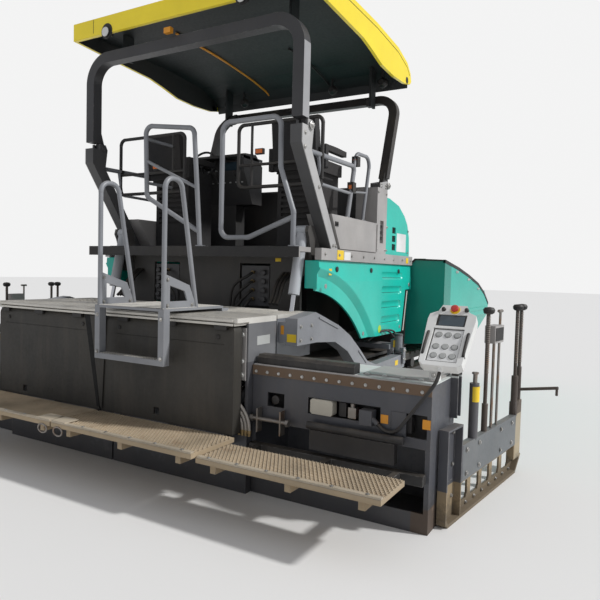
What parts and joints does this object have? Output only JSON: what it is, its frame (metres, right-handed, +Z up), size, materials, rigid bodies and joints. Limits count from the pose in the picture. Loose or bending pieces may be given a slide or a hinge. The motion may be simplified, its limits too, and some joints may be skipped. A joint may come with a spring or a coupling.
{
  "type": "tracked asphalt paver with an extending screed",
  "caption": "Tracked road paver with a folding hopper, cross augers, a lifting screed whose ends slide out, and a folding canopy.",
  "frame": {"origin": "on the ground at the middle of the length and width", "axes": "+X forward to the push rollers, +Y to the machine's left, +Z up"},
  "size_m": [6.44, 6.0694, 3.86],
  "materials": {
    "frame_paint": "dark grey paint, dusty",
    "grey_paint": "blue-grey paint, worn",
    "rail_paint": "light grey paint",
    "panel_green": "glossy green paint",
    "roof_shell": "yellow moulded shell",
    "roof_lining": "dark lining",
    "engine_iron": "dark castings",
    "track_rubber": "worn pads",
    "cable_rubber": "black sheath",
    "worn_steel": "worn bright steel",
    "chrome_rod": "polished",
    "deck_aluminium": "tread plate",
    "dark_plastic": "moulded, dusty",
    "seat_vinyl": "black cover",
    "console_plastic": "light grey moulding"
  },
  "bodies": {
    "tractor": {"main_frame": "frame_paint", "cross_members": "frame_paint", "floor_plates": "frame_paint", "bulkheads": "frame_paint", "firewall": "frame_paint", "engine_block": "engine_iron", "track_left": "track_rubber", "track_right": "track_rubber", "track_frames": "frame_paint", "conveyors": "worn_steel", "side_panels": "panel_green", "platform": "grey_paint", "hood_shell": "panel_green", "console": "dark_plastic", "seat_left": "seat_vinyl", "seat_right": "seat_vinyl", "guard_rails": "rail_paint", "canopy_legs": "grey_paint", "exhaust": "frame_paint", "levelling_units": "grey_paint", "lift_brackets": "frame_paint"},
    "canopy_rear": {"canopy_rear_frame": "frame_paint"},
    "canopy_front": {"canopy_front_frame": "frame_paint"},
    "roof": {"canopy_roof": "roof_shell", "canopy_lining": "roof_lining"},
    "lid": {"engine_lid": "panel_green"},
    "left_door": {"door_left": "grey_paint"},
    "right_door": {"door_right": "grey_paint"},
    "left_wing": {"wing_left": "panel_green"},
    "right_wing": {"wing_right": "panel_green"},
    "flap": {"front_flap": "panel_green"},
    "pusher": {"push_beam": "grey_paint"},
    "left_roller": {"push_roller_left": "worn_steel"},
    "right_roller": {"push_roller_right": "worn_steel"},
    "auger_frame": {"auger_carrier": "frame_paint"},
    "left_auger": {"auger_left": "worn_steel"},
    "right_auger": {"auger_right": "worn_steel"},
    "screed": {"tow_arms": "grey_paint", "screed_frame": "grey_paint", "deck_supports": "grey_paint", "deck": "deck_aluminium", "ladder": "rail_paint"},
    "lift_barrel": {"lift_barrels": "rail_paint"},
    "lift_rod": {"lift_rods": "chrome_rod"},
    "left_middle": {"middle_tube_left": "chrome_rod"},
    "right_middle": {"middle_tube_right": "chrome_rod"},
    "left_unit": {"extension_left": "grey_paint", "cover_left": "dark_plastic", "bolt_on_left": "grey_paint", "panel_left": "console_plastic"},
    "right_unit": {"extension_right": "grey_paint", "cover_right": "dark_plastic", "bolt_on_right": "grey_paint", "panel_right": "console_plastic", "panel_cable": "cable_rubber"},
    "left_gate": {"gate_left": "grey_paint"},
    "right_gate": {"gate_right": "grey_paint"}
  },
  "joints": [
    {"name": "canopy_fold", "type": "hinge", "parent": "tractor", "child": "canopy_rear", "pos_m": [-1.79, 0, 2.67], "axis": [0, 1, 0], "range_deg": [0, 50]},
    {"name": "canopy_front_fold", "type": "hinge", "parent": "tractor", "child": "canopy_front", "pos_m": [-0.14, 0, 2.42], "axis": [0, 1, 0], "range_deg": [0, 50]},
    {"name": "roof_level", "type": "hinge", "parent": "canopy_rear", "child": "roof", "pos_m": [-1.63, 0, 3.58], "axis": [0, 1, 0], "range_deg": [-50, 0]},
    {"name": "lid_open", "type": "hinge", "parent": "tractor", "child": "lid", "pos_m": [-0.1, 0, 2.3], "axis": [0, 1, 0], "range_deg": [-60, 0]},
    {"name": "left_door_open", "type": "hinge", "parent": "tractor", "child": "left_door", "pos_m": [-0.428, 1.246, 1.86], "axis": [0, 0, 1], "range_deg": [-110, 0]},
    {"name": "right_door_open", "type": "hinge", "parent": "tractor", "child": "right_door", "pos_m": [-0.428, -1.246, 1.86], "axis": [0, 0, 1], "range_deg": [0, 110]},
    {"name": "left_wing_fold", "type": "hinge", "parent": "tractor", "child": "left_wing", "pos_m": [1.75, 0.6, 0.64], "axis": [1, 0, 0], "range_deg": [0, 55]},
    {"name": "right_wing_fold", "type": "hinge", "parent": "tractor", "child": "right_wing", "pos_m": [1.75, -0.6, 0.64], "axis": [1, 0, 0], "range_deg": [-55, 0]},
    {"name": "flap_tilt", "type": "hinge", "parent": "tractor", "child": "flap", "pos_m": [2.882, 0, 0.615], "axis": [0, 1, 0], "range_deg": [-50, 0]},
    {"name": "push_beam_swing", "type": "hinge", "parent": "tractor", "child": "pusher", "pos_m": [2.79, 0, 0.425], "axis": [0, 0, 1], "range_deg": [-8, 8]},
    {"name": "left_roller_spin", "type": "hinge", "parent": "pusher", "child": "left_roller", "pos_m": [3.13, 0.55, 0.47], "axis": [0, 1, 0], "continuous": true},
    {"name": "right_roller_spin", "type": "hinge", "parent": "pusher", "child": "right_roller", "pos_m": [3.13, -0.55, 0.47], "axis": [0, 1, 0], "continuous": true},
    {"name": "auger_lift", "type": "slide", "parent": "tractor", "child": "auger_frame", "axis": [0, 0, 1], "range_m": [0, 0.15]},
    {"name": "left_auger_spin", "type": "hinge", "parent": "auger_frame", "child": "left_auger", "pos_m": [-1.722, 1, 0.3], "axis": [0, 1, 0], "continuous": true},
    {"name": "right_auger_spin", "type": "hinge", "parent": "auger_frame", "child": "right_auger", "pos_m": [-1.722, -1, 0.3], "axis": [0, 1, 0], "continuous": true},
    {"name": "screed_lift", "type": "hinge", "parent": "tractor", "child": "screed", "pos_m": [-0.1, 0, 0.62], "axis": [0, 1, 0], "range_deg": [0, 8]},
    {"name": "lift_barrel_swing", "type": "hinge", "parent": "tractor", "child": "lift_barrel", "pos_m": [-1.57, 0, 1.86], "axis": [0, 1, 0], "range_deg": [0, 1]},
    {"name": "lift_rod_slide", "type": "slide", "parent": "lift_barrel", "child": "lift_rod", "axis": [-0.222, 0, -0.975], "range_m": [-0.26, 0]},
    {"name": "left_unit_slide", "type": "slide", "parent": "screed", "child": "left_unit", "axis": [0, 1, 0], "range_m": [0, 1.225]},
    {"name": "right_unit_slide", "type": "slide", "parent": "screed", "child": "right_unit", "axis": [0, -1, 0], "range_m": [0, 1.225]},
    {"name": "left_middle_slide", "type": "slide", "parent": "screed", "child": "left_middle", "axis": [0, 1, 0], "range_m": [0, 0.6125]},
    {"name": "right_middle_slide", "type": "slide", "parent": "screed", "child": "right_middle", "axis": [0, -1, 0], "range_m": [0, 0.6125]},
    {"name": "left_gate_slide", "type": "slide", "parent": "left_unit", "child": "left_gate", "axis": [0, 0, 1], "range_m": [0, 0.12]},
    {"name": "right_gate_slide", "type": "slide", "parent": "right_unit", "child": "right_gate", "axis": [0, 0, 1], "range_m": [0, 0.12]}
  ],
  "couplings": [
    {"joint": "canopy_front_fold", "follows": "canopy_fold", "ratio": 1},
    {"joint": "roof_level", "follows": "canopy_fold", "ratio": -1},
    {"joint": "lift_barrel_swing", "follows": "screed_lift", "ratio": 0.0672},
    {"joint": "lift_rod_slide", "follows": "screed_lift", "m_per_rad": -1.7137},
    {"joint": "left_middle_slide", "follows": "left_unit_slide", "ratio": 0.5},
    {"joint": "right_middle_slide", "follows": "right_unit_slide", "ratio": 0.5}
  ]
}
